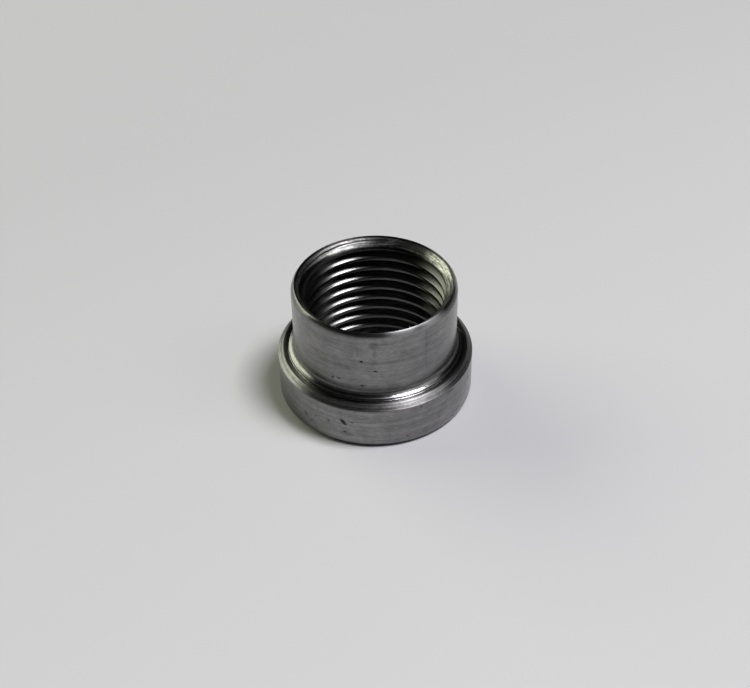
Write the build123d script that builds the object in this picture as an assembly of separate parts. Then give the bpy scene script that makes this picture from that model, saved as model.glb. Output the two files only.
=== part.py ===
from build123d import *
from math import sqrt
import os

# Weld bung: a collar turned from round steel bar, threaded right through.
# The plain neck goes into a tube's end or a hole, the wider flange seats
# outside it and is welded round, and a threaded part screws into the bore.
#
# Frame: +Z is the bore's axis. The origin is the centre of the flange's
# end face, on which the bung stands, so the neck points up.

# ---- Driving dimensions, in millimetres ------------------------------------
# Thread: M18 x 1.5, a metric fine thread
thread_major_d = 18.0
thread_pitch = 1.5

# Heights from the flange's end face
overall_height = 15.3
flange_height = 6.2

# Walls, measured outwards from the thread's major diameter
neck_wall = 0.75            # steel left outside the thread in the neck
ledge_width = 1.95          # how far the flange stands out from the neck

# Edges
countersink_margin = 0.35   # a countersink's mouth beyond the thread, each side
lip_arc_r = 1.2             # round of the neck's end, which stops at the countersink
flange_chamfer = 0.65       # upper outer edge of the flange, at 45 degrees
base_round = 0.5            # lower outer edge of the flange
root_fillet = 0.8           # nose of the tool that turns the neck
fillet_rise = 0.12          # how far above the ledge that tool stops
fillet_width = 0.6          # from the neck to the fillet's foot
relief_r = 0.12             # groove turned at the fillet's foot

# ---- Sizes that follow from them --------------------------------------------
# An internal ISO thread is cut 5/8 of its sharp triangle's height deep.
SHARP_HEIGHT = 0.866025     # triangle's height for a pitch of 1
bore_r = thread_major_d / 2 - 5 / 8 * SHARP_HEIGHT * thread_pitch
countersink_r = thread_major_d / 2 + countersink_margin
neck_r = thread_major_d / 2 + neck_wall
flange_r = neck_r + ledge_width
lip_width = neck_r - countersink_r
lip_start_z = overall_height - sqrt(lip_arc_r**2 - (lip_arc_r - lip_width) ** 2)
fillet_centre_z = flange_height + fillet_rise + root_fillet
fillet_foot_r = neck_r + fillet_width
foot_drop = sqrt(root_fillet**2 - (root_fillet - fillet_width) ** 2)


def nearest(vertices, radius, height):
    """The corner of the section that lies at this radius and height."""
    corner = Vector(radius, height, 0)
    return min(vertices, key=lambda vertex: (vertex.center() - corner).length)


def turned_section():
    """Half of the bung's section: radius along X, height along Y."""
    with BuildSketch() as section:
        # Neck and flange, with square corners
        with BuildLine():
            Polyline(
                (bore_r, 0),
                (flange_r, 0),
                (flange_r, flange_height),
                (neck_r, flange_height),
                (neck_r, overall_height),
                (bore_r, overall_height),
                close=True,
            )
        make_face()

        # A 45 degree countersink opens the bore at both ends
        countersink_depth = countersink_r - bore_r
        chamfer(nearest(section.vertices(), bore_r, 0), countersink_depth)
        chamfer(nearest(section.vertices(), bore_r, overall_height), countersink_depth)

        # The neck's end curves in from the neck and meets the countersink
        # in a sharp edge, so all that lies outside the curve is cut away.
        with BuildLine():
            neck_edge = (neck_r, lip_start_z)
            mouth = (countersink_r, overall_height)
            RadiusArc(neck_edge, mouth, -lip_arc_r)
            Polyline(mouth, (neck_r, overall_height), neck_edge)
        make_face(mode=Mode.SUBTRACT)

        # Edges of the flange
        chamfer(nearest(section.vertices(), flange_r, flange_height), flange_chamfer)
        fillet(nearest(section.vertices(), flange_r, 0), base_round)

        # The fillet, which is cut off at its foot a little above the ledge
        with BuildLine():
            top = (neck_r, fillet_centre_z)
            foot = (fillet_foot_r, fillet_centre_z - foot_drop)
            RadiusArc(foot, top, -root_fillet)
            Polyline(top, (neck_r, flange_height), (fillet_foot_r, flange_height), foot)
        make_face()

        # Fine groove that the facing tool leaves at the foot of the fillet
        with Locations((fillet_foot_r + relief_r, flange_height)):
            Circle(relief_r, mode=Mode.SUBTRACT)
    return section.sketch


def weld_bung():
    """The section stood up in the XZ plane and turned about the bore's axis."""
    upright = Plane.XZ * turned_section()
    return revolve(upright, axis=Axis.Z, revolution_arc=360)


os.makedirs("parts", exist_ok=True)
bung = weld_bung()
export_step(bung, "parts/weld_bung.step")

print(f"bore radius {bore_r:.3f}, countersink radius {countersink_r:.3f}")
print(f"neck radius {neck_r:.3f}, flange radius {flange_r:.3f}")
print(f"lip starts at {lip_start_z:.3f}, volume {bung.volume:.1f} mm3")
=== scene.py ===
# %% [markdown]
# # A weld bung, turned and tapped in Blender
# A weld bung is a small steel collar. Its plain neck goes into a tube's end or
# a hole, its flange seats outside and is welded round, and a threaded part
# screws into the bore. A lathe makes it from bar: a tool turns the outside to a
# section, then a tap cuts the thread. The lesson makes it the same way, with
# one Geometry Nodes tree that turns a section and one that taps a bore.

from math import acos, atan2, cos, degrees, hypot, pi, radians, sin, tan

import bmesh
import bpy
from mathutils import Matrix, Vector


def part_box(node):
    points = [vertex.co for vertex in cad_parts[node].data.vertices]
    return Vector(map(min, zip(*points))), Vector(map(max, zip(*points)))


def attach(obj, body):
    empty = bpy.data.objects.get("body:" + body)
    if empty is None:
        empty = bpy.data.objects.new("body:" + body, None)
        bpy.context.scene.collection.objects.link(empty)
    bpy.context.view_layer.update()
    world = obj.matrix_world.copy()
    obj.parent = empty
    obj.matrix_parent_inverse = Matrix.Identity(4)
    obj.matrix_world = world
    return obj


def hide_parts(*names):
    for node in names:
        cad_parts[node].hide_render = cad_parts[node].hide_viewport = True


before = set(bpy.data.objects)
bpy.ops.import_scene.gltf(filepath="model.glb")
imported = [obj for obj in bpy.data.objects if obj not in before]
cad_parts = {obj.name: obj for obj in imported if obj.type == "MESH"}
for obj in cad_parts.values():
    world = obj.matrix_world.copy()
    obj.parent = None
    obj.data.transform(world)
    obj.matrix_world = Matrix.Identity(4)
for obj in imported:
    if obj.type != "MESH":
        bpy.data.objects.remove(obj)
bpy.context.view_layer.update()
low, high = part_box("weld_bung")

# %% [markdown]
# ## Sizes
# The turned sizes are the ones of the CAD part. The thread is M18 x 1.5, a
# metric fine thread, so its shape follows from two numbers: the sharp triangle
# of an ISO thread is 0.866 of the pitch high, and the tap takes 5/8 of it away.
# A maker's sheet is in millimetres, and Blender's unit here is the metre, so
# one factor turns the first into the second.

# %% Sizes in millimetres
MM = 0.001

THREAD_MAJOR_R = 9.0
THREAD_PITCH = 1.5
TRIANGLE_HEIGHT = 0.866025  # of the sharp thread, in pitches
THREAD_DEPTH = 5 / 8 * TRIANGLE_HEIGHT * THREAD_PITCH
THREAD_MINOR_R = THREAD_MAJOR_R - THREAD_DEPTH

HEIGHT = high.z / MM
FLANGE_R = high.x / MM
FLANGE_HEIGHT = 6.2
NECK_R = 9.75
MOUTH_R = 9.35  # where each countersink meets its end face

LIP_ARC_R = 1.2  # the neck's end curves in, and stops at the countersink
ROOT_FILLET = 0.8
FILLET_RISE = 0.12  # the fillet ends about this far above the ledge
GROOVE_R = 10.35  # inner wall of the groove at its foot
RELIEF_R = 0.12  # the groove's depth, and half its width
BASE_ROUND = 0.75  # the edge that it stands on, worn rounder than it was cut
FLANGE_CHAMFER = 0.65
EDGE = 0.06  # how far a mouth's sharp edge is broken, along both its sides
EDGE_ROUND = 0.05
GROOVE_EDGE_ROUND = 0.02

print("the bung is", [round((h - l) / MM, 2) for l, h in zip(low, high)], "mm")
print(f"thread radius {THREAD_MINOR_R:.3f} to {THREAD_MAJOR_R:.3f}")

# %% [markdown]
# ## The section
# A turned part is wholly described by half of its section. It is written here
# as the corners that a turner reads off the drawing, each with the radius of
# its rounding. A tool with a small nose never leaves a truly sharp corner, so
# the crisp ones get a few hundredths of a millimetre, and that thin round is
# what catches the light as a bright line. The same helper rounds the corners
# of the thread's section, further down.

# %% Helpers for a section


def rounded(corners, step=15):
    """Points of a line through corners (a, b, radius), each rounded off.

    The ends, and corners of radius 0, stay sharp. An arc gets a point about
    every step degrees.
    """
    points = []
    for i, (a, b, radius) in enumerate(corners):
        here = Vector((a, b))
        if radius == 0 or i in (0, len(corners) - 1):
            points.append(here)
            continue
        back = (Vector(corners[i - 1][:2]) - here).normalized()
        on = (Vector(corners[i + 1][:2]) - here).normalized()
        opening = back.angle(on)
        reach = radius / tan(opening / 2)
        centre = here + (back + on).normalized() * radius / sin(opening / 2)
        start, end = here + back * reach, here + on * reach
        turn = (start - centre).angle_signed(end - centre)
        count = max(2, round(abs(degrees(turn)) / step))
        first = atan2(start.y - centre.y, start.x - centre.x)
        for k in range(count + 1):
            angle = first - turn * k / count
            points.append(centre + Vector((cos(angle), sin(angle))) * radius)
    return points


def divided(points, longest):
    """The same line, with its long stretches cut into shorter ones."""
    line = [points[0]]
    for here in points[1:]:
        back = line[-1]
        parts = max(1, round((here - back).length / longest))
        line += [back.lerp(here, k / parts) for k in range(1, parts + 1)]
    return line


def arc(centre_r, centre_z, radius, start, end, count):
    """Points of an arc, its angles in degrees from straight outwards."""
    turns = [radians(start + (end - start) * k / count) for k in range(count + 1)]
    return [Vector((centre_r + radius * cos(a), centre_z + radius * sin(a))) for a in turns]


# %% [markdown]
# ## The outside, from mouth to mouth
# The outline starts at the lower mouth, goes out and up over the flange, and
# then up the neck to the upper mouth. The flange is written as corners. The
# root fillet and the lip are true arcs, as the round nose of a tool cuts them.
# The fillet ends a little above the ledge, and the facing tool then cuts a fine
# groove at its foot. The lip's arc starts out straight up the neck, and stops
# where it meets the countersink.

# %% The outside's section
OUTSIDE_STEP = 0.42  # about the longest stretch between two points

groove_out = GROOVE_R + 2 * RELIEF_R
groove_z = FLANGE_HEIGHT - RELIEF_R
groove_round = RELIEF_R * 0.99  # two of them just fit side by side

flange = rounded(
    [
        (MOUTH_R - EDGE, EDGE, 0),
        (MOUTH_R, 0, EDGE_ROUND),
        (FLANGE_R, 0, BASE_ROUND),
        (FLANGE_R, FLANGE_HEIGHT - FLANGE_CHAMFER, EDGE_ROUND),
        (FLANGE_R - FLANGE_CHAMFER, FLANGE_HEIGHT, EDGE_ROUND),
        (groove_out, FLANGE_HEIGHT, GROOVE_EDGE_ROUND),
        (groove_out, groove_z, groove_round),
        (GROOVE_R, groove_z, groove_round),
        (GROOVE_R, FLANGE_HEIGHT, 0),
    ]
)

fillet_r = NECK_R + ROOT_FILLET
fillet_z = FLANGE_HEIGHT + FILLET_RISE + ROOT_FILLET
foot = -degrees(acos((GROOVE_R - fillet_r) / ROOT_FILLET))
fillet = arc(fillet_r, fillet_z, ROOT_FILLET, foot, -180, count=10)

lip_end = degrees(acos((LIP_ARC_R - NECK_R + MOUTH_R) / LIP_ARC_R))
lip_z = HEIGHT - LIP_ARC_R * sin(radians(lip_end))
lip = arc(NECK_R - LIP_ARC_R, lip_z, LIP_ARC_R, 0, lip_end, count=8)

# The lip's last point gives way to the mouth's broken and rounded edge.
before = (lip[-2].x, lip[-2].y, 0)
edge = [before, (MOUTH_R, HEIGHT, EDGE_ROUND), (MOUTH_R - EDGE, HEIGHT - EDGE, 0)]
outside = flange + fillet + lip[:-2] + rounded(edge)
outside = divided(outside, OUTSIDE_STEP)
print(f"the outside is turned to {len(outside)} points")

# %% [markdown]
# ## A lathe of nodes
# Spin or a Screw modifier could turn the section. A Geometry Nodes tree is
# used, because the same grid of rows and columns then serves the outside and
# the thread, and their edges meet point for point. The tree lays a flat grid
# with one row for each point of the section, reads that point's radius and
# height, and wraps the row round the axis.

# %% Helpers to wire a tree


class Tree:
    """A node tree with short words for adding nodes and wiring them."""

    def __init__(self, tree):
        self.tree = tree

    def add(self, kind, *inputs, **settings):
        """A node whose inputs are set or wired in order; None skips one."""
        node = self.tree.nodes.new(kind)
        for name, value in settings.items():
            setattr(node, name, value)
        sockets = [s for s in node.inputs if s.enabled]
        for socket, value in zip(sockets, inputs):
            self.put(socket, value)
        return node

    def put(self, socket, value):
        """Wires an input to another node's output, or sets it to a value."""
        if isinstance(value, bpy.types.NodeSocket):
            self.tree.links.new(value, socket)
        elif value is not None:
            socket.default_value = value

    def math(self, operation, *values):
        kind = "ShaderNodeMath"
        return self.add(kind, *values, operation=operation).outputs[0]

    def vector(self, operation, *values):
        kind = "ShaderNodeVectorMath"
        node = self.add(kind, *values, operation=operation)
        wanted = "Value" if operation == "LENGTH" else "Vector"
        return node.outputs[wanted]

    def arrange(self, lanes=4, across=190, down=150):
        """Lays the nodes out in lanes, so the tree can be read when opened."""
        for i, node in enumerate(self.tree.nodes):
            node.location = (i * across, -(i % lanes) * down)


def geometry_tree(name, inputs):
    """The helper of a modifier's tree, and the tree's named inputs."""
    tree = bpy.data.node_groups.new(name, "GeometryNodeTree")
    tree.is_modifier = True
    interface = tree.interface
    geometry = "NodeSocketGeometry"
    interface.new_socket("Section", in_out="INPUT", socket_type=geometry)
    for label, kind in inputs:
        interface.new_socket(label, in_out="INPUT", socket_type=kind)
    interface.new_socket("Geometry", in_out="OUTPUT", socket_type=geometry)
    helper = Tree(tree)
    start = helper.add("NodeGroupInput")
    return helper, start.outputs


FLOAT, COUNT = "NodeSocketFloat", "NodeSocketInt"
MATERIAL = "NodeSocketMaterial"

# %% The lathe tree
FULL_TURN = 2 * pi
WELD = 0.002 * MM  # points closer than this become one


def wrapped_grid(t, columns, rows):
    """A flat grid, and for its points the row number and the angle."""
    across, along = t.math("ADD", columns, 1), t.math("SUBTRACT", rows, 1)
    grid = t.add("GeometryNodeMeshGrid", columns, along, across, rows)
    position = t.add("GeometryNodeInputPosition").outputs[0]
    place = t.add("ShaderNodeSeparateXYZ", position)
    column = t.math("ADD", place.outputs["X"], t.math("DIVIDE", columns, 2))
    row = t.math("ADD", place.outputs["Y"], t.math("DIVIDE", along, 2))
    angle = t.math("MULTIPLY", t.math("DIVIDE", column, columns), FULL_TURN)
    return grid.outputs["Mesh"], t.math("ROUND", row), angle


def section_point(t, section, index):
    """The radius and height of one point of the section."""
    sample = t.add("GeometryNodeSampleIndex", data_type="FLOAT_VECTOR")
    t.put(sample.inputs["Geometry"], section)
    t.put(sample.inputs["Value"], t.add("GeometryNodeInputPosition").outputs[0])
    t.put(sample.inputs["Index"], index)
    place = t.add("ShaderNodeSeparateXYZ", sample.outputs[0])
    return place.outputs["X"], place.outputs["Z"]


def around_axis(t, grid, angle, radius, height):
    """The grid with each point put at its angle, radius and height."""
    x = t.math("MULTIPLY", radius, t.math("COSINE", angle))
    y = t.math("MULTIPLY", radius, t.math("SINE", angle))
    place = t.add("ShaderNodeCombineXYZ", x, y, height)
    return t.add("GeometryNodeSetPosition", grid, None, place.outputs[0]).outputs[0]


def finished(t, mesh, material, flip):
    """Closes the seam, turns the faces outwards and gives the material."""
    mesh = t.add("GeometryNodeMergeByDistance", mesh, None, WELD).outputs[0]
    if flip:
        mesh = t.add("GeometryNodeFlipFaces", mesh).outputs[0]
    mesh = t.add("GeometryNodeRealizeInstances", mesh).outputs[0]
    mesh = t.add("GeometryNodeSetMaterial", mesh, None, material).outputs[0]
    t.add("NodeGroupOutput", mesh)
    t.arrange()


lathe, given = geometry_tree("turn_a_section", [("Columns", COUNT), ("Steel", MATERIAL)])
size = lathe.add("GeometryNodeAttributeDomainSize", given["Section"])
grid, row, angle = wrapped_grid(lathe, given["Columns"], size.outputs["Point Count"])
radius, height = section_point(lathe, given["Section"], row)
turned = around_axis(lathe, grid, angle, radius, height)
finished(lathe, turned, given["Steel"], flip=False)
print("the lathe tree has", len(lathe.tree.nodes), "nodes")

# %% [markdown]
# ## A tap of nodes
# A thread is one small ridge that climbs round the bore, one pitch for each
# turn. A screw modifier with a boolean could cut it, but a boolean leaves
# slivers, and the ridges then fade badly into the countersinks. Here the same
# kind of grid is used, and its rows climb with the helix, so every crest is a
# clean line. The section of one ridge is read again and again up the bore.
# Wherever a countersink is wider than the thread, the point takes the
# countersink's radius, which is just what the countersinking tool does.

# %% The section of one ridge
CREST_FLAT = THREAD_PITCH / 4
ROOT_FLAT = THREAD_PITCH / 8
CREST_ROUND, ROOT_ROUND = 0.09, 0.06
RIDGE_STEP = 0.14  # about the longest stretch between two points

ridge = rounded(
    [
        (THREAD_MINOR_R, 0, 0),
        (THREAD_MINOR_R, CREST_FLAT / 2, CREST_ROUND),
        (THREAD_MAJOR_R, (THREAD_PITCH - ROOT_FLAT) / 2, ROOT_ROUND),
        (THREAD_MAJOR_R, (THREAD_PITCH + ROOT_FLAT) / 2, ROOT_ROUND),
        (THREAD_MINOR_R, THREAD_PITCH - CREST_FLAT / 2, CREST_ROUND),
        (THREAD_MINOR_R, THREAD_PITCH, 0),
    ],
    step=20,
)
ridge = divided(ridge, RIDGE_STEP)[:-1]  # the next ridge repeats the last point
print(f"one ridge has {len(ridge)} points over {THREAD_PITCH} mm")

# %% The tapping tree
SPARE_TURNS = 2  # cut beyond the bore's length, so that neither end is missed

tap, given = geometry_tree(
    "tap_a_bore",
    [
        ("Columns", COUNT),
        ("Pitch", FLOAT),
        ("Length", FLOAT),
        ("First crest", FLOAT),
        ("Hand", FLOAT),
        ("Mouth radius", FLOAT),
        ("Steel", MATERIAL),
    ],
)
size = tap.add("GeometryNodeAttributeDomainSize", given["Section"])
ridge_points = size.outputs["Point Count"]
turns = tap.math("DIVIDE", given["Length"], given["Pitch"])
turns = tap.math("CEIL", tap.math("ADD", turns, SPARE_TURNS))
rows = tap.math("ADD", tap.math("MULTIPLY", turns, ridge_points), 1)
grid, row, angle = wrapped_grid(tap, given["Columns"], rows)

ridge_number = tap.math("FLOOR", tap.math("DIVIDE", row, ridge_points))
ridge_point = tap.math("FLOORED_MODULO", row, ridge_points)
radius, climb = section_point(tap, given["Section"], ridge_point)
turned_by = tap.math("DIVIDE", tap.math("MULTIPLY", angle, given["Hand"]), FULL_TURN)
helix = tap.math("MULTIPLY", tap.math("ADD", ridge_number, turned_by), given["Pitch"])
height = tap.math("ADD", tap.math("ADD", helix, climb), given["First crest"])
height = tap.math("MINIMUM", tap.math("MAXIMUM", height, 0), given["Length"])

# The countersinks are cones of 45 degrees that narrow from each mouth.
lower_cone = tap.math("SUBTRACT", given["Mouth radius"], height)
from_top = tap.math("SUBTRACT", given["Length"], height)
upper_cone = tap.math("SUBTRACT", given["Mouth radius"], from_top)
radius = tap.math("MAXIMUM", radius, tap.math("MAXIMUM", lower_cone, upper_cone))
tapped = around_axis(tap, grid, angle, radius, height)
finished(tap, tapped, given["Steel"], flip=True)
print("the tapping tree has", len(tap.tree.nodes), "nodes")

# %% [markdown]
# ## The steels
# The whole bung is one bare steel, but each tool leaves it another finish.
# The bar's side has hair-fine rings and a dull grey shine. The ledge, the
# fillet and the chamfer come off a facing tool, and their rings are clear. The
# thread is smooth and dark with oil. Metallic Principled shaders make them
# all. Anisotropy stretches the highlight across the rings, as on any turned
# metal, and noise drawn out round the axis makes the rings themselves.

# %% Helpers for patterns
PER_MM = 1 / MM


def new_material(name):
    material = bpy.data.materials.new(name)
    material.use_nodes = True
    material.node_tree.nodes.clear()
    return material, Tree(material.node_tree)


def place_in_mm(t):
    """A point in mm, the same in parts, and its distance from the axis."""
    place = t.add("ShaderNodeTexCoord").outputs["Object"]
    place = t.vector("SCALE", place)
    t.put(place.node.inputs["Scale"], PER_MM)
    parts = t.add("ShaderNodeSeparateXYZ", place).outputs
    across = t.add("ShaderNodeCombineXYZ", parts["X"], parts["Y"], 0).outputs[0]
    return place, parts, t.vector("LENGTH", across)


def noise(t, place, scale, detail=2.0, roughness=0.5):
    node = t.add("ShaderNodeTexNoise")
    t.put(node.inputs["Vector"], place)
    t.put(node.inputs["Scale"], scale)
    t.put(node.inputs["Detail"], detail)
    t.put(node.inputs["Roughness"], roughness)
    return node.outputs[0]


def ramp(t, value, low, high, to_low=0.0, to_high=1.0):
    """value from low..high to to_low..to_high, held at both ends."""
    return t.add("ShaderNodeMapRange", value, low, high, to_low, to_high).outputs[0]


def mottled(t, grain, spread, least, most):
    """Noise lies round 0.5: its middle is stretched over least..most."""
    return ramp(t, grain, 0.5 - spread, 0.5 + spread, least, most)


def product(t, *values):
    """All the values multiplied together."""
    result = values[0]
    for value in values[1:]:
        result = t.math("MULTIPLY", result, value)
    return result


def band(t, value, rise, full, fall, none):
    """0 up to rise, 1 from full to fall, and 0 again from none on."""
    return product(t, ramp(t, value, rise, full), ramp(t, value, none, fall))


def rings(t, parts, radius, along, around, slope=-1.6):
    """Noise drawn out round the axis, as a turning tool leaves it.

    It changes along times in a mm up the axis and around times in a mm round
    it. The slope leans its layers, so that a flat face has rings too.
    """
    x, y = (t.math("MULTIPLY", parts[axis], around) for axis in "XY")
    line = t.math("ADD", parts["Z"], t.math("MULTIPLY", radius, slope))
    line = t.math("MULTIPLY", line, along)
    stretched = t.add("ShaderNodeCombineXYZ", x, y, line).outputs[0]
    return noise(t, stretched, scale=1.0, detail=3.0)


# %% [markdown]
# ## Colour, shine and bump
# A pattern is only a number from point to point. It becomes part of the steel
# when it shades the base colour, roughens the shine or tilts the normal. These
# helpers mix and shade colours, tilt the normal, and put all of it into one
# metal shader, so that each finish further down is a short recipe.

# %% Helpers for colour, shine and bump
FACTOR, FIRST, SECOND, MIXED = 0, 6, 7, 2  # the Mix node's sockets for colours
QUARTER_TURN = 0.25  # the shader counts this angle in turns


def blend(t, kind, share, first, second):
    """Two colours, the second mixed or multiplied in by its share."""
    node = t.add("ShaderNodeMix", data_type="RGBA", blend_type=kind)
    t.put(node.inputs[FACTOR], share)
    t.put(node.inputs[FIRST], first)
    t.put(node.inputs[SECOND], second)
    return node.outputs[MIXED]


def grey_of(t, level):
    """A grey whose red, green and blue are all one level."""
    return t.add("ShaderNodeCombineColor", level, level, level).outputs[0]


def shaded(t, colour, shade):
    """A colour made darker or lighter by a factor."""
    return blend(t, "MULTIPLY", 1.0, colour, grey_of(t, shade))


def steel_shader(t, colour, roughness, normal, anisotropic):
    """Bare metal whose shine is drawn out across the rings."""
    shader = t.add("ShaderNodeBsdfPrincipled")
    tangent = t.add("ShaderNodeTangent", direction_type="RADIAL", axis="Z")
    t.put(shader.inputs["Base Color"], colour)
    t.put(shader.inputs["Metallic"], 1.0)
    t.put(shader.inputs["Roughness"], roughness)
    t.put(shader.inputs["Normal"], normal)
    t.put(shader.inputs["Anisotropic"], anisotropic)
    t.put(shader.inputs["Anisotropic Rotation"], QUARTER_TURN)
    t.put(shader.inputs["Tangent"], tangent.outputs[0])
    out = t.add("ShaderNodeOutputMaterial")
    t.put(out.inputs["Surface"], shader.outputs[0])
    t.arrange()


def bumped(t, height, strength, depth, below=None):
    """A normal that leans as if height were relief, depth in millimetres."""
    node = t.add("ShaderNodeBump")
    t.put(node.inputs["Strength"], strength)
    t.put(node.inputs["Distance"], depth * MM)
    t.put(node.inputs["Height"], height)
    if below is not None:
        t.put(node.inputs["Normal"], below)
    return node.outputs[0]


# %% [markdown]
# ## Marks from handling
# A part that has been in a box with others has pits, a gouge, scratches, oil stains and places
# rubbed pale. Most are tenths of a millimetre across, so cutting them into the mesh would take
# a very fine mesh. Each is a soft-edged ellipse in the shader instead, at a given angle and
# height. A pit is dark and sunken, a smear or a stain is only dark, and a scratch or a worn
# place is pale. One node group makes the ellipse, and each mark is one copy of it with its own
# numbers.
# Some ellipses are not marks: they paint shade, dark reflections and highlights where light
# and shade fall on the steel.

# %% The mark group
MARK_INPUTS = (
    "Around",
    "Up",
    "At around",
    "At up",
    "Half length",
    "Half width",
    "Tilt",
    "Strength",
)
# A mark starts to fade inside its ellipse, and is gone a little outside it.
FADES_FROM, GONE_BY = 0.5, 1.3


def mark_group():
    """A group that gives Strength inside an ellipse on the unrolled side."""
    tree = bpy.data.node_groups.new("handling_mark", "ShaderNodeTree")
    for label in MARK_INPUTS:
        tree.interface.new_socket(label, in_out="INPUT", socket_type=FLOAT)
    tree.interface.new_socket("Mark", in_out="OUTPUT", socket_type=FLOAT)
    t = Tree(tree)
    given = t.add("NodeGroupInput").outputs
    aside = t.math("SUBTRACT", given["Around"], given["At around"])
    above = t.math("SUBTRACT", given["Up"], given["At up"])
    cosine, sine = t.math("COSINE", given["Tilt"]), t.math("SINE", given["Tilt"])
    along = t.math("ADD", product(t, aside, cosine), product(t, above, sine))
    across = t.math("SUBTRACT", product(t, above, cosine), product(t, aside, sine))
    along = t.math("DIVIDE", along, given["Half length"])
    across = t.math("DIVIDE", across, given["Half width"])
    flat = t.add("ShaderNodeCombineXYZ", along, across, 0).outputs[0]
    inside = ramp(t, t.vector("LENGTH", flat), GONE_BY, FADES_FROM)
    t.add("NodeGroupOutput", product(t, inside, given["Strength"]))
    t.arrange()
    return tree


MARK = mark_group()
print("the mark group has", len(MARK.nodes), "nodes")


def marks(t, place, parts, radius, turned_r, spots, ragged):
    """The strongest of the spots at each point of a side of one radius.

    A spot is its angle from the front in degrees, its height, half length and
    half width in mm, its tilt in degrees and its strength. Noise pushes their
    outlines about, by up to half of ragged in mm.
    """
    push = t.math("SUBTRACT", noise(t, place, scale=3.0), 0.5)
    wobble = t.math("MULTIPLY", push, ragged)
    back = t.math("MULTIPLY", parts["Y"], -1.0)
    angle = t.math("ARCTAN2", parts["X"], back)
    around = t.math("ADD", t.math("MULTIPLY", angle, radius), wobble)
    up = t.math("SUBTRACT", parts["Z"], wobble)
    total = 0.0
    for azimuth, height, length, width, tilt, strength in spots:
        at = radians(azimuth) * turned_r
        node = t.add("ShaderNodeGroup", node_tree=MARK)
        values = (around, up, at, height, length, width, radians(tilt), strength)
        for label, value in zip(MARK_INPUTS, values):
            t.put(node.inputs[label], value)
        total = t.math("MAXIMUM", total, node.outputs[0])
    return total


def marked(t, mark, shade, full=1.0):
    """1 where there is no mark, and shade where it has its full strength."""
    return ramp(t, mark, 0.0, full, 1.0, shade)


# %% [markdown]
# ## The side's steel
# The neck and the flange's side keep the dull finish of a quick turning cut: hair-fine rings,
# a coarser grain, and blotches where oil has dried. Two places on the lip are painted pale, a
# painted highlight where the main light shines on it. Rings, grain, blotches, smears, painted
# shade and pits are factors that multiply one colour, so each can be turned up or down by
# itself. The painted shade darkens the corner above the fillet, and some of the smears are
# painted shade and dark reflection. Where the lip has its painted highlight, a paler steel is
# mixed in. The fine rings, the grain and the pits also bend the light, as bump.

# %% The side's marks
# Angle from the front, height, half length, half width in mm, tilt, strength
NECK_PITS = [
    (-9.5, 11.4, 0.20, 0.16, 0, 1),
    (-0.3, 10.0, 0.27, 0.12, 0, 1),
    (-30.5, 8.15, 0.27, 0.12, 25, 0.805),
    (-25.5, 8.3, 0.24, 0.11, 15, 0.805),
    (-9.4, 7.75, 0.22, 0.22, 0, 0.69),
    (-7.8, 7.85, 0.19, 0.14, 20, 0.575),
]
NECK_SMEARS_AND_SHADE = [
    (-12, 12.7, 0.09, 0.75, 0, 0.30),
    (36.5, 11.6, 0.07, 3.1, 0, 0.22),
    (17.5, 12.45, 0.40, 0.06, -38, 0.30),
    (-43, 13.75, 2.4, 0.10, 0, 0.25),
    (6, 13.85, 1.0, 0.09, 0, 0.25),
    (0, 11.15, 2.0, 0.25, 0, 0.18),
    (-20, 11.8, 1.1, 0.09, 0, 0.20),
    (1, 9.92, 1.9, 0.06, 0, 0.25),
    (-1, 13.7, 0.55, 0.60, 0, 0.30),
    (-0.5, 12.6, 0.25, 0.70, 0, 0.22),
    # Painted shade and dark reflection along the lip and just under its edge
    (-22, 15.0, 5.0, 0.50, 0, 0.28),
    (67, 14.95, 2.7, 0.60, 0, 0.52),
    (-58, 15.25, 1.2, 0.12, 0, 0.40),
    (-148, 15.3, 5.5, 0.10, 0, 0.70),
    (152, 15.3, 4.5, 0.10, 0, 0.70),
    (105, 15.3, 3.5, 0.10, 0, 0.70),
    # Broad painted shade low down on the right and on the left
    (76, 7.5, 3.4, 0.60, 0, 0.25),
    (-45, 11.2, 5.5, 4.50, 0, 0.13),
]
# Painted highlights: two pale places on the lip where the main light shines
LIP_SHEEN = [
    (19, 15.1, 2.0, 0.45, 0, 0.9),
    (42, 15.1, 1.9, 0.45, 0, 0.9),
]
FLANGE_PITS = [
    (-19.2, 3.55, 0.50, 0.27, -47, 1.0),
    (-18.3, 3.3, 0.30, 0.18, -30, 1.0),
    (-13.8, 3.65, 0.23, 0.08, 8, 0.92),
    (-28.5, 3.1, 0.18, 0.18, 0, 0.69),
    (-18.3, 2.05, 0.24, 0.12, -10, 0.92),
    (-44.5, 2.5, 0.38, 0.22, -40, 0.6325),
    (-40.5, 1.9, 0.30, 0.12, 45, 0.575),
    (-37, 3.0, 0.16, 0.11, 0, 0.575),
    (17.5, 1.3, 0.20, 0.11, 0, 0.69),
    (26.5, 5.2, 0.20, 0.12, -50, 0.69),
    (48, 5.22, 0.74, 0.11, -6, 0.805),
    (69, 4.1, 0.57, 0.14, -50, 0.805),
    (50.5, 0.95, 0.22, 0.11, -40, 0.805),
    (55, 1.25, 0.16, 0.12, 0, 0.575),
    (66, 1.2, 0.22, 0.12, -40, 0.69),
]
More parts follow.
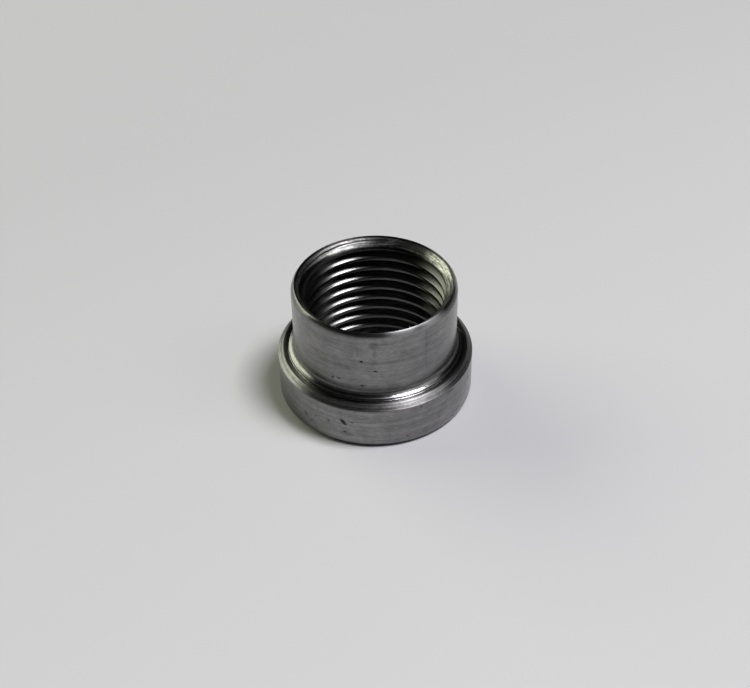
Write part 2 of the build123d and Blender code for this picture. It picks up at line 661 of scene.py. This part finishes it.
FLANGE_SMEARS_AND_SHADE = [
    (-18, 1.8, 0.8, 0.40, 0, 0.22),
    (7.5, 1.8, 0.09, 0.60, 0, 0.20),
    (39, 2.3, 0.12, 0.40, 30, 0.25),
    (29, 1.2, 0.30, 0.45, 0, 0.18),
    (-10, 4.3, 1.1, 0.12, 12, 0.20),
    (-50, 4.5, 0.7, 0.12, 30, 0.25),
    (-66, 2.2, 1.2, 0.5, 40, 0.20),
    # Lines just under the chamfer, and broad painted shade on the left
    (-28, 5.5, 5.5, 0.10, 0, 0.40),
    (76, 5.5, 3.6, 0.12, 0, 0.30),
    (-52, 2.8, 6.0, 4.00, 0, 0.18),
]
SIDE_MARKS = (NECK_PITS, NECK_SMEARS_AND_SHADE, LIP_SHEEN, FLANGE_PITS, FLANGE_SMEARS_AND_SHADE)
print("marks on the side:", sum(len(spots) for spots in SIDE_MARKS))

# %% The side's finish
SIDE_STEEL = (0.25, 0.246, 0.244, 1)
WORN_STEEL = (0.40, 0.40, 0.40, 1)
SHEEN_ROUGHER = 0.16
# Painted shade in the corner above the fillet: its factor and its top
CORNER_SHADE_FACTOR = 0.66
CORNER_SHADE_TOP = fillet_z + 0.8
MARGIN = 0.5  # the painted corner shade fades between the two sides, this far from each
GRAIN_RELIEF = 0.15  # against the pits' 1


def side_steel():
    """Neck and flange side: dull, ringed, blotched and pitted."""
    material, t = new_material("side_turned_steel")
    place, parts, radius = place_in_mm(t)
    fine = rings(t, parts, radius, along=9.0, around=0.12)
    broad = rings(t, parts, radius, along=2.2, around=0.10)
    grain = rings(t, parts, radius, along=4.5, around=2.0)
    blotch = noise(t, place, scale=0.55, detail=4.0, roughness=0.6)
    # Smears, with painted shade and dark reflection among them
    smears_and_shade = t.math(
        "ADD",
        marks(t, place, parts, radius, NECK_R, NECK_SMEARS_AND_SHADE, ragged=0.3),
        marks(t, place, parts, radius, FLANGE_R, FLANGE_SMEARS_AND_SHADE, ragged=0.5),
    )
    pits = t.math(
        "ADD",
        marks(t, place, parts, radius, NECK_R, NECK_PITS, ragged=0.12),
        marks(t, place, parts, radius, FLANGE_R, FLANGE_PITS, ragged=0.15),
    )
    # Painted shade darkens the corner above the fillet, but not the flange's side.
    corner_shade = ramp(t, parts["Z"], fillet_z, CORNER_SHADE_TOP, CORNER_SHADE_FACTOR, 1.0)
    away_from_neck = ramp(t, radius, NECK_R + MARGIN, FLANGE_R - MARGIN)
    shade = product(
        t,
        mottled(t, broad, 0.2, 0.82, 1.12),
        mottled(t, fine, 0.2, 0.93, 1.05),
        mottled(t, grain, 0.2, 0.83, 1.13),
        mottled(t, blotch, 0.15, 0.86, 1.08),
        marked(t, smears_and_shade, 0.2, full=0.7),
        marked(t, pits, 0.08),
        t.math("MAXIMUM", corner_shade, away_from_neck),
    )
    # The lip's painted highlight mixes in a paler steel, a little rougher
    lip_sheen = marks(t, place, parts, radius, NECK_R, LIP_SHEEN, ragged=0.4)
    colour = blend(t, "MIX", lip_sheen, shaded(t, SIDE_STEEL, shade), WORN_STEEL)
    roughness = mottled(t, fine, 0.3, 0.22, 0.30)
    roughness = t.math("ADD", roughness, t.math("MULTIPLY", lip_sheen, SHEEN_ROUGHER))
    height = t.math("SUBTRACT", t.math("MULTIPLY", grain, GRAIN_RELIEF), pits)
    normal = bumped(t, fine, strength=0.5, depth=0.006)
    normal = bumped(t, height, strength=0.6, depth=0.02, below=normal)
    steel_shader(t, colour, roughness, normal, anisotropic=0.65)
    return material


SIDE = side_steel()
print("steel:", SIDE.name, "with", len(SIDE.node_tree.nodes), "nodes")

# %% [markdown]
# ## The facing tool's steel
# The ledge, the fillet and the chamfer come off the facing tool. It leaves clear rings, so
# their shine is a crisp line. The fillet's foot is a thin ridge beside the groove, and it is
# worn pale. The fillet's upper part gets painted shade, and a few patches of painted shade and
# dark reflection lie on all three. The ledge gets a little rougher towards the chamfer.

# %% The faced finish
STEEL = (0.31, 0.305, 0.30, 1)
FILLET_SHADE_FACTOR = 0.68  # the painted shade of the fillet's upper part
LEDGE_SHADE_FACTOR = 0.2
CHAMFER_ROUGHER, RIDGE_ROUGHER = 0.15, 0.1
SPECK_RELIEF = 0.7  # against the ragged rings' 1

# Painted shade: dark patches where the ledge, fillet and chamfer fall into shade and dark
# reflection
LEDGE_PAINTED_SHADE = [
    (-82, 6.2, 5.5, 0.10, 0, 0.75),
    (27, 6.05, 2.6, 0.12, 0, 0.30),
    (78, 6.75, 5.6, 0.50, 0, 0.90),
]


def faced_steel():
    """Ledge, fillet and chamfer: clear tool rings, a crisp shine along them."""
    material, t = new_material("faced_steel")
    place, parts, radius = place_in_mm(t)
    lines = rings(t, parts, radius, along=2.4, around=0.07)
    fine = rings(t, parts, radius, along=5.5, around=0.05)
    ragged = rings(t, parts, radius, along=2.6, around=0.9)
    specks = noise(t, place, scale=3.5)
    painted_shade = marks(t, place, parts, radius, FLANGE_R, LEDGE_PAINTED_SHADE, ragged=0.1)
    shade = product(
        t,
        mottled(t, lines, 0.15, 0.60, 1.15),
        mottled(t, fine, 0.15, 0.65, 1.15),
        mottled(t, ragged, 0.2, 0.80, 1.15),
        mottled(t, specks, 0.15, 0.85, 1.12),
        # Painted shade darkens the fillet's upper part
        ramp(t, parts["Z"], fillet_z - 0.6, fillet_z - 0.3, 1.0, FILLET_SHADE_FACTOR),
    )
    foot_z = FLANGE_HEIGHT + FILLET_RISE
    ridge_line = product(
        t,
        band(t, parts["Z"], foot_z - 0.02, foot_z + 0.01, foot_z + 0.05, foot_z + 0.08),
        ramp(t, radius, GROOVE_R + 0.1, GROOVE_R + 0.05),
    )
    colour = blend(t, "MIX", ridge_line, shaded(t, STEEL, shade), WORN_STEEL)
    # The patches of painted shade darken the colour
    colour = shaded(t, colour, marked(t, painted_shade, LEDGE_SHADE_FACTOR))
    outer = FLANGE_R - 0.6
    rougher = ramp(t, radius, groove_out + 0.1, outer, 0.0, CHAMFER_ROUGHER)
    rougher = t.math("ADD", rougher, t.math("MULTIPLY", ridge_line, RIDGE_ROUGHER))
    roughness = t.math("ADD", mottled(t, lines, 0.2, 0.20, 0.30), rougher)
    uneven = t.math("ADD", ragged, t.math("MULTIPLY", specks, SPECK_RELIEF))
    normal = bumped(t, fine, strength=0.5, depth=0.005)
    normal = bumped(t, uneven, strength=0.5, depth=0.016, below=normal)
    steel_shader(t, colour, roughness, normal, anisotropic=0.88)
    return material


FACED = faced_steel()
print("steel:", FACED.name, "with", len(FACED.node_tree.nodes), "nodes")

# %% [markdown]
# ## The bore's steel
# A tap leaves its thread smooth, and oil keeps it dark. Deeper down it is darker still, a
# painted shade. The countersinks are brighter, and torn by their tool. One material serves
# both, with a factor that is 1 in the countersinks and 0 in the thread. Painted shade lines
# run just inside the upper mouth and where the upper countersink meets the thread, and two
# broad painted highlights lie in the upper countersink. The upper countersink and the thread's
# first turn are a little rougher than the rest, so their shine is duller.

# %% The bore's marks
# Tears are dark, scratches are pale lines, and the painted highlights are broad and bright.
MOUTH_TEARS = [
    (-150, 14.18, 2.6, 0.07, 0, 0.95),
    (-138, 14.55, 1.0, 0.05, 12, 0.7),
    (158, 14.45, 0.9, 0.05, -8, 0.8),
    (118, 14.5, 0.8, 0.05, 25, 0.8),
    (108, 14.9, 0.6, 0.06, -30, 0.8),
    (100, 14.3, 0.5, 0.05, 40, 0.8),
    (-163, 15.1, 0.25, 0.12, 0, 0.8),
    (-149, 14.5, 1.7, 0.22, 0, 0.30),
]
MOUTH_SCRATCHES_AND_SHEEN = [
    (165, 14.95, 0.06, 0.35, 0, 0.9),
    (160, 14.6, 0.7, 0.04, -6, 0.6),
    (-145, 14.75, 1.2, 0.04, 5, 0.5),
    (122, 14.8, 0.5, 0.05, 30, 0.6),
    # This last one is no scratch: a pale place painted where the main light's highlight falls
    (-166, 14.85, 0.9, 0.14, 3, 0.6),
]
# Painted highlights: bright places where the lamps' sheen falls in the upper countersink
MOUTH_PAINTED_HIGHLIGHTS = [
    (115, 14.85, 2.7, 0.60, 0, 1.0),
    (-166, 14.93, 1.6, 0.20, 0, 2.0),
]
MOUTH_MARKS = (MOUTH_TEARS, MOUTH_SCRATCHES_AND_SHEEN, MOUTH_PAINTED_HIGHLIGHTS)
print("marks in the upper mouth:", sum(len(spots) for spots in MOUTH_MARKS))

# %% The bore's finish
OILED_STEEL = (0.13, 0.129, 0.123, 1)
REAMED_STEEL = (0.28, 0.28, 0.265, 1)
BORE_SLOPE = 0.6  # of the rings' layers
LINE_SHADE = 0.1  # how dark a tear or a painted shade line is
DEEP_PAINTED_SHADE = 0.75
DEEP, SHALLOW = 3.0, 10.0  # the heights between which the thread's painted shade runs
RIM_WAVE = 0.12  # mm that the line at the rim wanders
FULL_HIGHLIGHT, HIGHLIGHT_GAIN = 2.0, 2.1
TOP_ROUGHER, SCRATCH_ROUGHER = 0.16, 0.3

sunk = MOUTH_R - THREAD_MINOR_R  # the countersinks' depth
seat_z = HEIGHT - sunk  # where the upper one meets the thread's crests


def tapped_steel():
    """The thread, smooth, dark and oily, and its torn, brighter countersinks."""
    material, t = new_material("tapped_steel")
    place, parts, radius = place_in_mm(t)
    fine = rings(t, parts, radius, along=5.0, around=0.2, slope=BORE_SLOPE)
    torn = rings(t, parts, radius, along=4.0, around=0.6, slope=BORE_SLOPE)
    upper = ramp(t, parts["Z"], seat_z - 0.05, seat_z + 0.1)
    lower = ramp(t, parts["Z"], sunk + 0.05, sunk - 0.1)
    mouth = t.math("MAXIMUM", upper, lower)
    # A dark painted shade line where the upper countersink meets the thread.
    seat_shade_line = band(t, parts["Z"], seat_z - 0.09, seat_z + 0.02, seat_z + 0.18, seat_z + 0.31)
    specks = noise(t, place, scale=3.0)
    # A thin, uneven painted shade line just inside the upper mouth.
    uneven_z = t.math("ADD", parts["Z"], t.math("MULTIPLY", specks, RIM_WAVE))
    rim_shade_line = ramp(t, uneven_z, HEIGHT - 0.18, HEIGHT - 0.08)
    plain = mottled(t, torn, 0.2, 0.85, 1.1)
    streaks = product(t, mottled(t, torn, 0.12, 0.4, 1.3), mottled(t, specks, 0.1, 0.75, 1.2))
    streaks = t.add("ShaderNodeMix", mouth, plain, streaks, data_type="FLOAT").outputs[0]
    tears = marks(t, place, parts, radius, THREAD_MAJOR_R, MOUTH_TEARS, ragged=0.5)
    scratches_and_sheen = marks(t, place, parts, radius, THREAD_MAJOR_R, MOUTH_SCRATCHES_AND_SHEEN, ragged=0.2)
    painted_highlights = marks(t, place, parts, radius, THREAD_MAJOR_R, MOUTH_PAINTED_HIGHLIGHTS, ragged=0.5)
    shade = product(
        t,
        mottled(t, fine, 0.2, 0.85, 1.1),
        streaks,
        marked(t, tears, LINE_SHADE),
        # Painted highlights brighten the upper countersink
        marked(t, painted_highlights, HIGHLIGHT_GAIN, full=FULL_HIGHLIGHT),
        # Painted shade: a dark line just inside the upper mouth
        marked(t, rim_shade_line, LINE_SHADE),
        # Painted shade: the thread darkens from SHALLOW down to DEEP
        ramp(t, parts["Z"], DEEP, SHALLOW, DEEP_PAINTED_SHADE, 1.0),
        # Painted shade: a dark line where the countersink meets the thread
        marked(t, seat_shade_line, LINE_SHADE),
    )
    colour = shaded(t, blend(t, "MIX", mouth, OILED_STEEL, REAMED_STEEL), shade)
    # Scratches, and one painted highlight, mix in a paler steel
    colour = blend(t, "MIX", scratches_and_sheen, colour, WORN_STEEL)
    rougher = ramp(t, parts["Z"], HEIGHT - 2.5, HEIGHT - 1.7, 0.0, TOP_ROUGHER)
    rougher = t.math("ADD", rougher, t.math("MULTIPLY", scratches_and_sheen, SCRATCH_ROUGHER))
    roughness = t.math("ADD", mottled(t, fine, 0.3, 0.20, 0.30), rougher)
    normal = bumped(t, fine, strength=0.4, depth=0.004)
    normal = bumped(t, torn, strength=0.5, depth=0.008, below=normal)
    steel_shader(t, colour, roughness, normal, anisotropic=0.75)
    return material


TAPPED = tapped_steel()
print("steel:", TAPPED.name, "with", len(TAPPED.node_tree.nodes), "nodes")

# %% [markdown]
# ## Turning and tapping
# Each section becomes a line of points with a modifier on it. The inputs are
# set by their identifiers before the object is first evaluated. The evaluated
# result is then taken over as a plain mesh, so no modifier is left behind.

# %% Run the trees
COLUMNS = 240  # round the axis
CREST_AT_X = 13.01  # height of a crest on the side that +X points to
HAND = -1.0  # a left-hand thread: 1 would cut a right-hand one


def line_object(name, points):
    """A mesh of points (radius, height), standing in the XZ plane."""
    mesh = bpy.data.meshes.new(name)
    mesh.from_pydata([(a * MM, 0, b * MM) for a, b in points], [], [])
    thing = bpy.data.objects.new(name, mesh)
    bpy.context.scene.collection.objects.link(thing)
    return thing


def run_tree(thing, tree, values):
    """The plain mesh that a tree makes of an object; the object is removed."""
    modifier = thing.modifiers.new("tree", "NODES")
    modifier.node_group = tree
    for item in tree.interface.items_tree:
        if item.in_out == "INPUT" and item.name in values:
            modifier[item.identifier] = values[item.name]
    graph = bpy.context.evaluated_depsgraph_get()
    mesh = bpy.data.meshes.new_from_object(thing.evaluated_get(graph))
    bpy.data.objects.remove(thing)
    return mesh


skin = run_tree(
    line_object("outside_section", outside),
    lathe.tree,
    {"Columns": COLUMNS, "Steel": SIDE},
)
# The first crest lies more than a turn below the bore.
crest_below = (CREST_AT_X - EDGE) % THREAD_PITCH - SPARE_TURNS * THREAD_PITCH
bore = run_tree(
    line_object("ridge_section", ridge),
    tap.tree,
    {
        "Columns": COLUMNS,
        "Pitch": THREAD_PITCH * MM,
        "Length": (HEIGHT - 2 * EDGE) * MM,
        "First crest": crest_below * MM,
        "Hand": HAND,
        "Mouth radius": (MOUTH_R - EDGE) * MM,
        "Steel": TAPPED,
    },
)
bore.transform(Matrix.Translation((0, 0, EDGE * MM)))  # between the broken edges
print(f"turned {len(skin.polygons)} faces, tapped {len(bore.polygons)}")

# %% [markdown]
# ## One closed skin
# The two meshes share their rings of points at the mouths. They are joined,
# the doubled points are merged and the faces are counted: a closed skin has
# no open edge. Faces that a facing tool made get its finish, by their height
# and slope.

# %% Join and close
STEELS = (SIDE, FACED, TAPPED)
SHARP = radians(30)  # an edge that turns by more is drawn crisp
LEAST_RISE = 0.02  # of a faced face's normal: a side's does not rise


def faced(face):
    """Whether a face lies in the fillet, the ledge or the chamfer."""
    centre = face.calc_center_median() / MM
    radius = hypot(centre.x, centre.y)
    above = FLANGE_HEIGHT - FLANGE_CHAMFER
    return above < centre.z < fillet_z and NECK_R < radius and face.normal.z > LEAST_RISE


shape = bmesh.new()
shape.from_mesh(skin)
shape.from_mesh(bore)
skin_faces = len(skin.polygons)
shape.faces.ensure_lookup_table()
for i, face in enumerate(shape.faces):
    face.smooth = True
    face.normal_update()
    if i >= skin_faces:
        steel = TAPPED
    elif faced(face):
        steel = FACED
    else:
        steel = SIDE
    face.material_index = STEELS.index(steel)
bmesh.ops.remove_doubles(shape, verts=shape.verts, dist=WELD)
bmesh.ops.dissolve_degenerate(shape, edges=shape.edges, dist=WELD / 4)
open_edges = sum(not e.is_manifold for e in shape.edges)
print("open edges:", open_edges, "volume", round(shape.calc_volume() / MM**3, 1))

mesh = bpy.data.meshes.new("turned_bung")
shape.to_mesh(mesh)
shape.free()
for steel in STEELS:
    mesh.materials.append(steel)
mesh.set_sharp_from_angle(angle=SHARP)
bung = bpy.data.objects.new("turned_bung", mesh)
bpy.context.scene.collection.objects.link(bung)
triangles = sum(len(p.vertices) - 2 for p in mesh.polygons)
print("triangles:", triangles)

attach(bung, "root")
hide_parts("weld_bung")

# %% [markdown]
# ## The table
# The bung stands on a plain pale table, one big square that reaches far past the camera's
# view. It is matt, and painted a little paler towards its front and right, a painted falloff
# of the light.

# %% The table
TABLE_SIZE = 6.0  # metres
TABLE_DROP = 0.01  # mm, which keeps its top and the bung's end face apart
# Painted falloff of light: greyer at the back, paler at the front
FAR_SHADED_GREY, NEAR_LIT_GREY = 0.555, 0.648
FADE_REACH = 70  # mm, on both sides of the bung
RIGHT_SHARE = 0.5  # what a step to the right counts against one to the front
TABLE_ROUGHNESS, TABLE_SHINE = 0.7, 0.1


def table_material():
    """Matt grey, painted a little paler from the back to the front, as the light falls off."""
    material, t = new_material("pale_table")
    shader = t.add("ShaderNodeBsdfPrincipled")
    parts = place_in_mm(t)[1]
    nearer = t.math("SUBTRACT", product(t, parts["X"], RIGHT_SHARE), parts["Y"])
    # The painted falloff of light runs from the back to the front and right
    painted_falloff = ramp(t, nearer, -FADE_REACH, FADE_REACH, FAR_SHADED_GREY, NEAR_LIT_GREY)
    t.put(shader.inputs["Base Color"], grey_of(t, painted_falloff))
    t.put(shader.inputs["Roughness"], TABLE_ROUGHNESS)
    t.put(shader.inputs["Specular IOR Level"], TABLE_SHINE)
    out = t.add("ShaderNodeOutputMaterial")
    t.put(out.inputs["Surface"], shader.outputs[0])
    t.arrange()
    return material


half = TABLE_SIZE / 2
mesh = bpy.data.meshes.new("table")
mesh.from_pydata(
    [(-half, -half, 0), (half, -half, 0), (half, half, 0), (-half, half, 0)],
    [],
    [(0, 1, 2, 3)],
)
mesh.materials.append(table_material())
table = bpy.data.objects.new("table", mesh)
table.location.z = -TABLE_DROP * MM
bpy.context.scene.collection.objects.link(table)
print("the table is", TABLE_SIZE, "m across")

# %% [markdown]
# ## The light
# A small softbox high on the right is the main light. A large, slightly
# greenish window lies low behind on the left, and a dim card on the right fills
# the dark side of the edges. All the rest is dim, because bright steel shows
# whatever is round it.

# %% The lamps
LAMP_DISTANCE = 1.3  # metres
# Name, azimuth and elevation, width and height in metres, watts, colour
LAMPS = [
    ("key_softbox", 80, 69, 0.37, 0.36, 15, (0.96, 0.945, 1.0)),
    ("left_window", -122, 25, 1.25, 0.8, 9.5, (0.96, 1.0, 0.79)),
    ("right_card", 78, 41, 0.5, 0.6, 1.5, (0.96, 0.97, 1.0)),
]


def direction(azimuth, elevation):
    """Unit vector; azimuth 0 is the camera's side, and 90 is the right."""
    a, e = radians(azimuth), radians(elevation)
    return Vector((sin(a) * cos(e), -cos(a) * cos(e), sin(e)))


def softbox(name, azimuth, elevation, width, height, power, colour):
    """An even, glowing rectangle that faces the bung."""
    lamp = bpy.data.lights.new(name, "AREA")
    lamp.shape = "RECTANGLE"
    lamp.size, lamp.size_y = width, height
    lamp.energy = power
    lamp.color = colour
    thing = bpy.data.objects.new(name, lamp)
    way = direction(azimuth, elevation)
    thing.location = way * LAMP_DISTANCE
    thing.rotation_euler = way.to_track_quat("Z", "Y").to_euler()
    bpy.context.scene.collection.objects.link(thing)


for lamp in LAMPS:
    softbox(*lamp)
print("lamps:", [lamp[0] for lamp in LAMPS])

# %% The dim room
AT_HORIZON, OVERHEAD = 0.5, 0.02  # how bright the room is
GLOW_TOP = 0.08  # the rise at which the horizon's glow has gone

world = bpy.data.worlds.new("dim_room")
bpy.context.scene.world = world
world.use_nodes = True
world.node_tree.nodes.clear()
t = Tree(world.node_tree)
way = t.add("ShaderNodeTexCoord").outputs["Generated"]
rise = t.add("ShaderNodeSeparateXYZ", way).outputs[2]
level = ramp(t, rise, 0.0, GLOW_TOP, AT_HORIZON, OVERHEAD)
background = t.add("ShaderNodeBackground", (1, 1, 1, 1), level)
out = t.add("ShaderNodeOutputWorld")
t.put(out.inputs["Surface"], background.outputs[0])
t.arrange()
print("the room glows", AT_HORIZON, "at the horizon and", OVERHEAD, "above it")

# %% [markdown]
# ## The camera
# The camera looks down at the bung from in front, from about seven of its
# widths away. It swings round a point in the bung's middle, but it aims a
# little lower, and it is rolled by about a degree, as a camera held by hand is.

# %% The camera
CAMERA_ELEVATION = 39.45
CAMERA_DISTANCE = 159.5  # mm, from the point below
CAMERA_CENTRE = Vector((0, 0, 7.31))
AIM = Vector((-0.02, 0, 5.93))
ROLL = 0.93
FOCAL_MM = 63.85
SENSOR_MM = 36
CLIP_START = 5  # mm

camera = bpy.data.cameras.new("camera")
camera.sensor_fit = "HORIZONTAL"
camera.sensor_width = SENSOR_MM
camera.lens = FOCAL_MM
camera.clip_start = CLIP_START * MM
camera_object = bpy.data.objects.new("camera", camera)
spot = CAMERA_CENTRE + direction(0, CAMERA_ELEVATION) * CAMERA_DISTANCE
camera_object.location = spot * MM
facing = (AIM - spot).to_track_quat("-Z", "Y").to_matrix().to_4x4()
turn = facing @ Matrix.Rotation(radians(-ROLL), 4, "Z")
camera_object.rotation_euler = turn.to_euler()
bpy.context.scene.collection.objects.link(camera_object)
bpy.context.scene.camera = camera_object
bpy.context.scene.view_settings.view_transform = "Standard"
print("the camera stands", [round(c) for c in spot], "mm from the origin")
